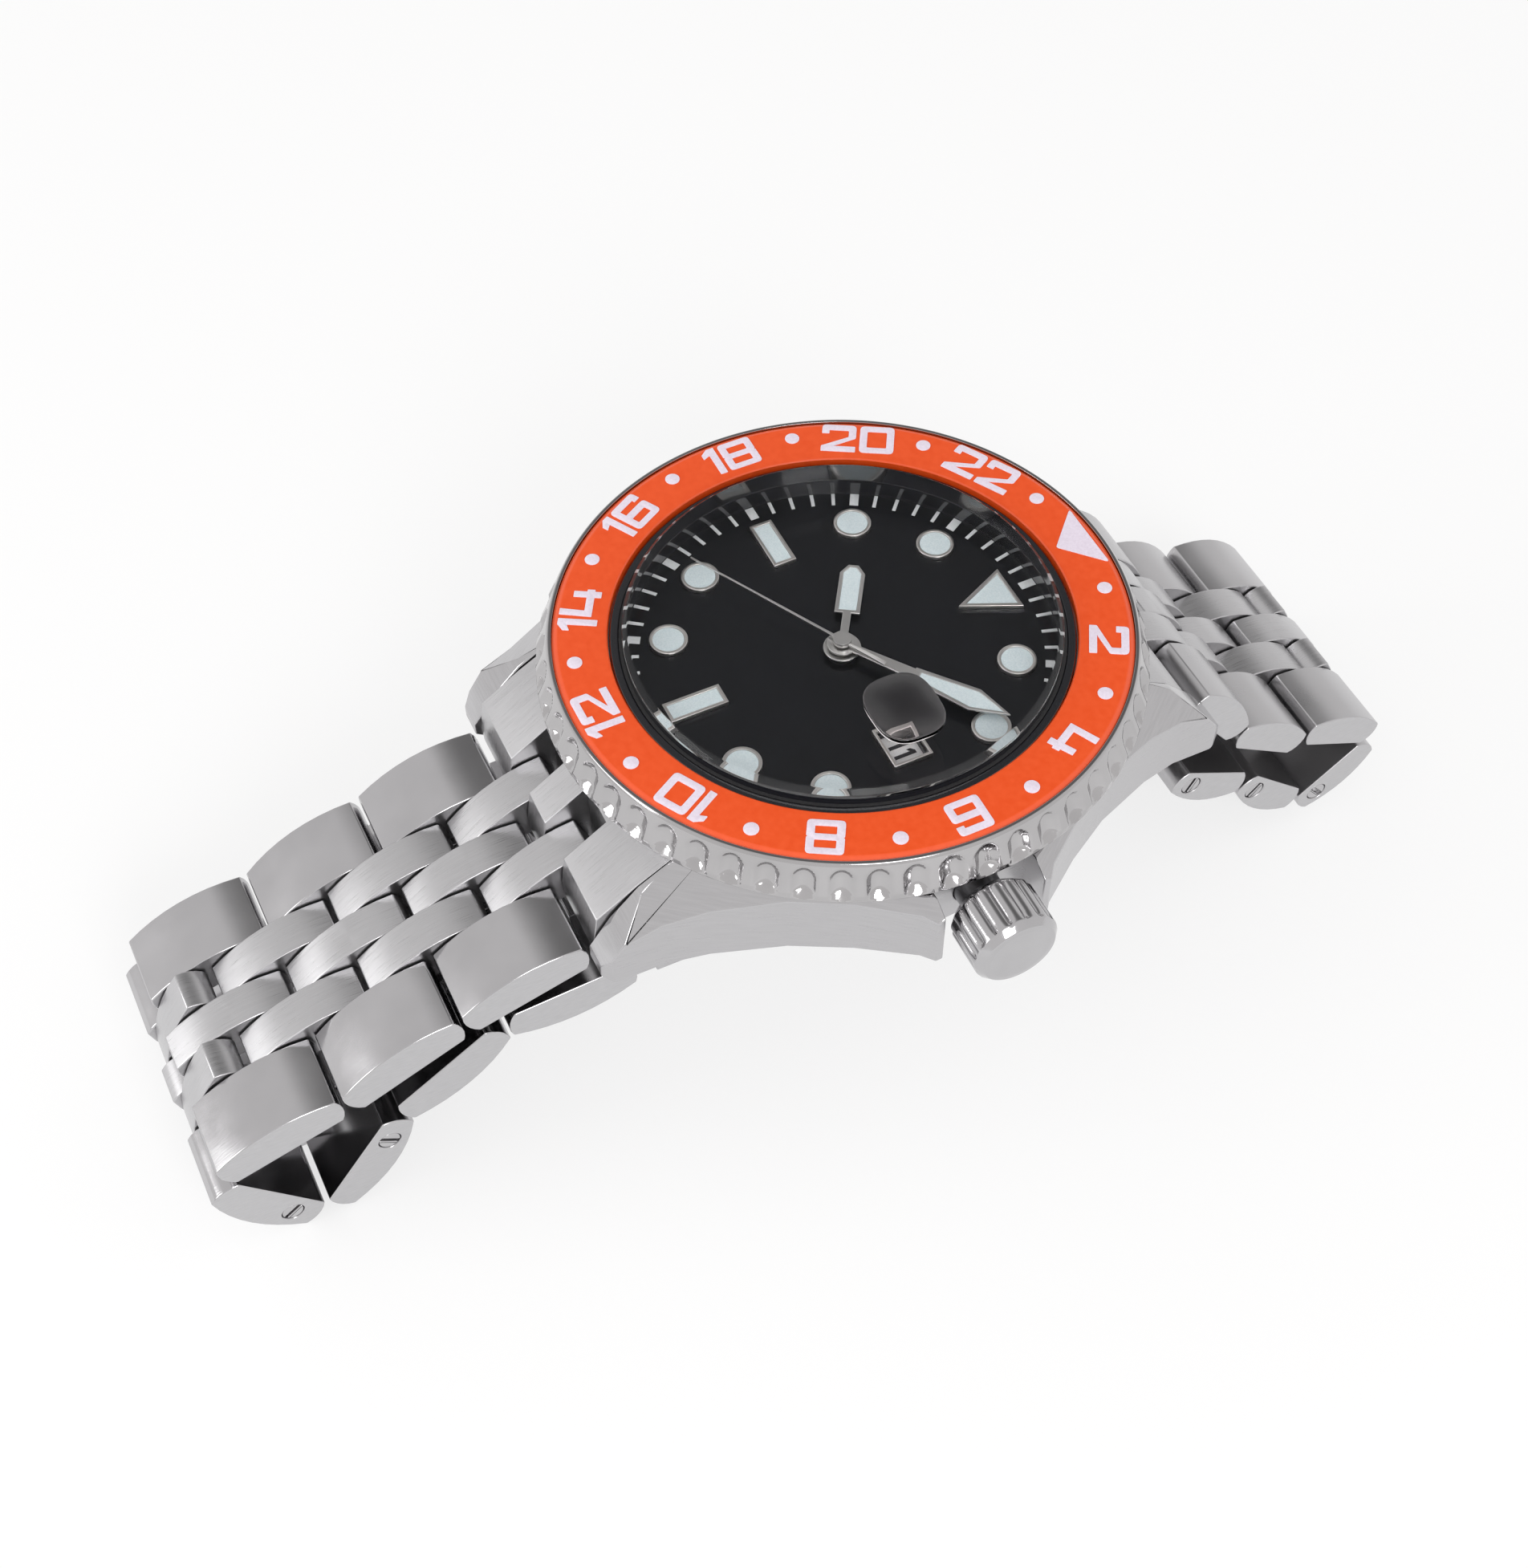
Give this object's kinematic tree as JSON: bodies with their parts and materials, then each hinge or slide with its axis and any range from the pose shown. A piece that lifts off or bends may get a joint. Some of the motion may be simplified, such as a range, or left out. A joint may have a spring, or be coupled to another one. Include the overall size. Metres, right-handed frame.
{
  "type": "dive watch",
  "caption": "Steel dive watch with a turning orange 24-hour bezel, black dial, date window and screw-shouldered crown on a folded five-row link bracelet with a folding clasp.",
  "frame": {"origin": "centre of the closed clasp's outer face, straight under the dial's axis", "axes": "+Z out of the dial along the hands' axis, +Y towards 12 o'clock along the bracelet, +X towards the crown at 3 o'clock"},
  "size_m": [0.0448, 0.09, 0.0304],
  "materials": {
    "case_steel": "satin flanks with polished upper faces",
    "bezel_steel": "polished",
    "link_polished": "polished",
    "link_brushed": "brushed along the bracelet",
    "clasp_polished": "fine satin",
    "spring_steel": "satin",
    "insert_orange": "glossy lacquer",
    "numeral_paint": "printed",
    "crystal_glass": "clear, domed edge",
    "gasket_rubber": "matt",
    "dial_black": "glossy lacquer with a faint sunburst",
    "dial_print": "printed",
    "date_white": "matt print",
    "marker_metal": "polished",
    "lume_paint": "matt luminous fill",
    "movement_brass": "satin"
  },
  "bodies": {
    "case": {"mid_case": "case_steel", "case_back": "case_steel", "case_back_gasket": "gasket_rubber", "bezel_click_spring": "spring_steel", "crystal": "crystal_glass", "date_magnifier": "crystal_glass", "crystal_gasket": "gasket_rubber", "rehaut_ring": "dial_black", "dial": "dial_black", "dial_markers": "marker_metal", "dial_lume": "lume_paint", "dial_printing": "dial_print", "movement": "movement_brass", "crown_tube": "spring_steel", "spring_bars": "spring_steel", "end_link_6": "link_brushed", "end_link_12": "link_brushed"},
    "bezel": {"bezel_ring": "bezel_steel", "bezel_insert": "insert_orange", "bezel_numerals": "numeral_paint"},
    "date": {"date_disc": "date_white"},
    "hour": {"hour_hand": "marker_metal", "hand_lume_hour": "lume_paint"},
    "minute": {"minute_hand": "marker_metal", "hand_lume_minute": "lume_paint"},
    "seconds": {"seconds_hand": "marker_metal"},
    "balance": {"balance_wheel": "movement_brass"},
    "rotor": {"rotor": "spring_steel"},
    "crown_slide": {"crown_gasket": "gasket_rubber"},
    "crown": {"winding_stem": "spring_steel", "crown": "bezel_steel"},
    "narrow_6_1": {"narrow_6_1": "link_brushed"},
    "wide_6_1": {"wide_6_1": "link_polished"},
    "narrow_6_2": {"narrow_6_2": "link_brushed"},
    "wide_6_2": {"wide_6_2": "link_polished"},
    "narrow_6_3": {"narrow_6_3": "link_brushed"},
    "wide_6_3": {"wide_6_3": "link_polished"},
    "narrow_6_4": {"narrow_6_4": "link_brushed"},
    "wide_6_4": {"wide_6_4": "link_polished"},
    "narrow_6_5": {"narrow_6_5": "link_brushed"},
    "wide_6_5": {"wide_6_5": "link_polished"},
    "narrow_6_6": {"narrow_6_6": "link_brushed"},
    "wide_6_6": {"wide_6_6": "link_polished"},
    "narrow_6_7": {"narrow_6_7": "link_brushed"},
    "wide_6_7": {"wide_6_7": "link_polished"},
    "narrow_12_1": {"narrow_12_1": "link_brushed"},
    "wide_12_1": {"wide_12_1": "link_polished"},
    "narrow_12_2": {"narrow_12_2": "link_brushed"},
    "wide_12_2": {"wide_12_2": "link_polished"},
    "narrow_12_3": {"narrow_12_3": "link_brushed"},
    "wide_12_3": {"wide_12_3": "link_polished"},
    "narrow_12_4": {"narrow_12_4": "link_brushed"},
    "wide_12_4": {"wide_12_4": "link_polished"},
    "narrow_12_5": {"narrow_12_5": "link_brushed"},
    "wide_12_5": {"wide_12_5": "link_polished"},
    "narrow_12_6": {"narrow_12_6": "link_brushed"},
    "wide_12_6": {"wide_12_6": "link_polished"},
    "clasp_inner_blade": {"clasp_inner_blade": "clasp_polished"},
    "clasp_middle_blade": {"clasp_middle_blade": "clasp_polished"},
    "clasp_cover": {"clasp_cover": "link_brushed"}
  },
  "joints": [
    {"name": "bezel_turn", "type": "hinge", "parent": "case", "child": "bezel", "pos_m": [0, 0, 0.0169], "axis": [0, 0, 1], "continuous": true},
    {"name": "crown_pull", "type": "slide", "parent": "case", "child": "crown_slide", "axis": [1, 0, 0], "range_m": [0, 0.0012]},
    {"name": "crown_wind", "type": "hinge", "parent": "crown_slide", "child": "crown", "pos_m": [0, 0, 0.0115], "axis": [1, 0, 0], "continuous": true},
    {"name": "seconds_turn", "type": "hinge", "parent": "case", "child": "seconds", "pos_m": [0, 0, 0.0135], "axis": [0, 0, -1], "continuous": true},
    {"name": "minute_turn", "type": "hinge", "parent": "case", "child": "minute", "pos_m": [0, 0, 0.0135], "axis": [0, 0, -1], "continuous": true},
    {"name": "hour_turn", "type": "hinge", "parent": "case", "child": "hour", "pos_m": [0, 0, 0.0135], "axis": [0, 0, -1], "continuous": true},
    {"name": "date_turn", "type": "hinge", "parent": "case", "child": "date", "pos_m": [0, 0, 0.0135], "axis": [0, 0, 1], "continuous": true},
    {"name": "rotor_swing", "type": "hinge", "parent": "case", "child": "rotor", "pos_m": [0, 0, 0.0079], "axis": [0, 0, 1], "continuous": true},
    {"name": "balance_swing", "type": "hinge", "parent": "case", "child": "balance", "pos_m": [0.0054, -0.0062, 0.0089], "axis": [0, 0, 1], "range_deg": [-135, 135], "stiffness_Nm_per_rad": 0.0000005},
    {"name": "pin_6_0", "type": "hinge", "parent": "case", "child": "narrow_6_1", "pos_m": [0, -0.0207, 0.0077], "axis": [-1, 0, 0], "range_deg": [0, 4]},
    {"name": "pin_6_1", "type": "hinge", "parent": "narrow_6_1", "child": "wide_6_1", "pos_m": [0, -0.02498, 0.00588], "axis": [1, 0, 0], "range_deg": [0, 7]},
    {"name": "pin_6_2", "type": "hinge", "parent": "wide_6_1", "child": "narrow_6_2", "pos_m": [0, -0.02945, 0.0046], "axis": [-1, 0, 0], "range_deg": [0, 4]},
    {"name": "pin_6_3", "type": "hinge", "parent": "narrow_6_2", "child": "wide_6_2", "pos_m": [0, -0.03382, 0.00301], "axis": [-1, 0, 0], "range_deg": [0, 4]},
    {"name": "pin_6_4", "type": "hinge", "parent": "wide_6_2", "child": "narrow_6_3", "pos_m": [0, -0.03807, 0.00112], "axis": [-1, 0, 0], "range_deg": [0, 15]},
    {"name": "pin_6_5", "type": "hinge", "parent": "narrow_6_3", "child": "wide_6_3", "pos_m": [0, -0.04246, -0.00039], "axis": [-1, 0, 0], "range_deg": [0, 15]},
    {"name": "unroll_6", "type": "hinge", "parent": "wide_6_3", "child": "narrow_6_4", "pos_m": [0, -0.04691, -0.00175], "axis": [-1, 0, 0], "range_deg": [0, 57]},
    {"name": "pin_6_7", "type": "hinge", "parent": "narrow_6_4", "child": "wide_6_4", "pos_m": [0, -0.04819, -0.00622], "axis": [-1, 0, 0], "range_deg": [0, 54]},
    {"name": "pin_6_8", "type": "hinge", "parent": "wide_6_4", "child": "narrow_6_5", "pos_m": [0, -0.04533, -0.00989], "axis": [-1, 0, 0], "range_deg": [0, 54]},
    {"name": "pin_6_9", "type": "hinge", "parent": "narrow_6_5", "child": "wide_6_5", "pos_m": [0, -0.04068, -0.00973], "axis": [-1, 0, 0], "range_deg": [0, 52]},
    {"name": "pin_6_10", "type": "hinge", "parent": "wide_6_5", "child": "narrow_6_6", "pos_m": [0, -0.03795, -0.00596], "axis": [-1, 0, 0], "range_deg": [0, 15]},
    {"name": "pin_6_11", "type": "hinge", "parent": "narrow_6_6", "child": "wide_6_6", "pos_m": [0, -0.03472, -0.00262], "axis": [-1, 0, 0], "range_deg": [0, 15]},
    {"name": "pin_6_12", "type": "hinge", "parent": "wide_6_6", "child": "narrow_6_7", "pos_m": [0, -0.03086, -0.00002], "axis": [-1, 0, 0], "range_deg": [0, 15]},
    {"name": "pin_6_13", "type": "hinge", "parent": "narrow_6_7", "child": "wide_6_7", "pos_m": [0, -0.0265, 0.00157], "axis": [1, 0, 0], "range_deg": [0, 16]},
    {"name": "pin_12_0", "type": "hinge", "parent": "case", "child": "narrow_12_1", "pos_m": [0, 0.0204, 0.0083], "axis": [1, 0, 0], "range_deg": [0, 15]},
    {"name": "pin_12_1", "type": "hinge", "parent": "narrow_12_1", "child": "wide_12_1", "pos_m": [0, 0.02364, 0.00672], "axis": [1, 0, 0], "range_deg": [0, 26]},
    {"name": "pin_12_2", "type": "hinge", "parent": "wide_12_1", "child": "narrow_12_2", "pos_m": [0, 0.02585, 0.00389], "axis": [1, 0, 0], "range_deg": [0, 15]},
    {"name": "pin_12_3", "type": "hinge", "parent": "narrow_12_2", "child": "wide_12_2", "pos_m": [0, 0.02826, 0.00121], "axis": [1, 0, 0], "range_deg": [0, 15]},
    {"name": "pin_12_4", "type": "hinge", "parent": "wide_12_2", "child": "narrow_12_3", "pos_m": [0, 0.03128, -0.00075], "axis": [1, 0, 0], "range_deg": [0, 15]},
    {"name": "pin_12_5", "type": "hinge", "parent": "narrow_12_3", "child": "wide_12_3", "pos_m": [0, 0.03474, -0.00174], "axis": [1, 0, 0], "range_deg": [0, 10]},
    {"name": "unroll_12", "type": "hinge", "parent": "wide_12_3", "child": "narrow_12_4", "pos_m": [0, 0.03798, -0.00332], "axis": [1, 0, 0], "range_deg": [0, 60]},
    {"name": "pin_12_7", "type": "hinge", "parent": "narrow_12_4", "child": "wide_12_4", "pos_m": [0, 0.03823, -0.00691], "axis": [1, 0, 0], "range_deg": [0, 55]},
    {"name": "pin_12_8", "type": "hinge", "parent": "wide_12_4", "child": "narrow_12_5", "pos_m": [0, 0.03543, -0.00918], "axis": [1, 0, 0], "range_deg": [0, 57]},
    {"name": "pin_12_9", "type": "hinge", "parent": "narrow_12_5", "child": "wide_12_5", "pos_m": [0, 0.03201, -0.00807], "axis": [1, 0, 0], "range_deg": [0, 24]},
    {"name": "pin_12_10", "type": "hinge", "parent": "wide_12_5", "child": "narrow_12_6", "pos_m": [0, 0.02933, -0.00566], "axis": [1, 0, 0], "range_deg": [0, 15]},
    {"name": "pin_12_11", "type": "hinge", "parent": "narrow_12_6", "child": "wide_12_6", "pos_m": [0, 0.02649, -0.00344], "axis": [1, 0, 0], "range_deg": [0, 15]},
    {"name": "pin_12_12", "type": "hinge", "parent": "wide_12_6", "child": "clasp_inner_blade", "pos_m": [0, 0.02332, -0.00175], "axis": [1, 0, 0], "range_deg": [0, 15]},
    {"name": "clasp_open", "type": "hinge", "parent": "clasp_inner_blade", "child": "clasp_middle_blade", "pos_m": [0, -0.0155, 0.00267], "axis": [-1, 0, 0], "range_deg": [0, 60]},
    {"name": "cover_fold", "type": "hinge", "parent": "clasp_middle_blade", "child": "clasp_cover", "pos_m": [0, 0.01862, 0.002], "axis": [-1, 0, 0], "range_deg": [-61, 0]}
  ],
  "couplings": [
    {"joint": "minute_turn", "follows": "seconds_turn", "ratio": 0.016667},
    {"joint": "hour_turn", "follows": "seconds_turn", "ratio": 0.0013889},
    {"joint": "cover_fold", "follows": "clasp_open", "ratio": -1}
  ]
}
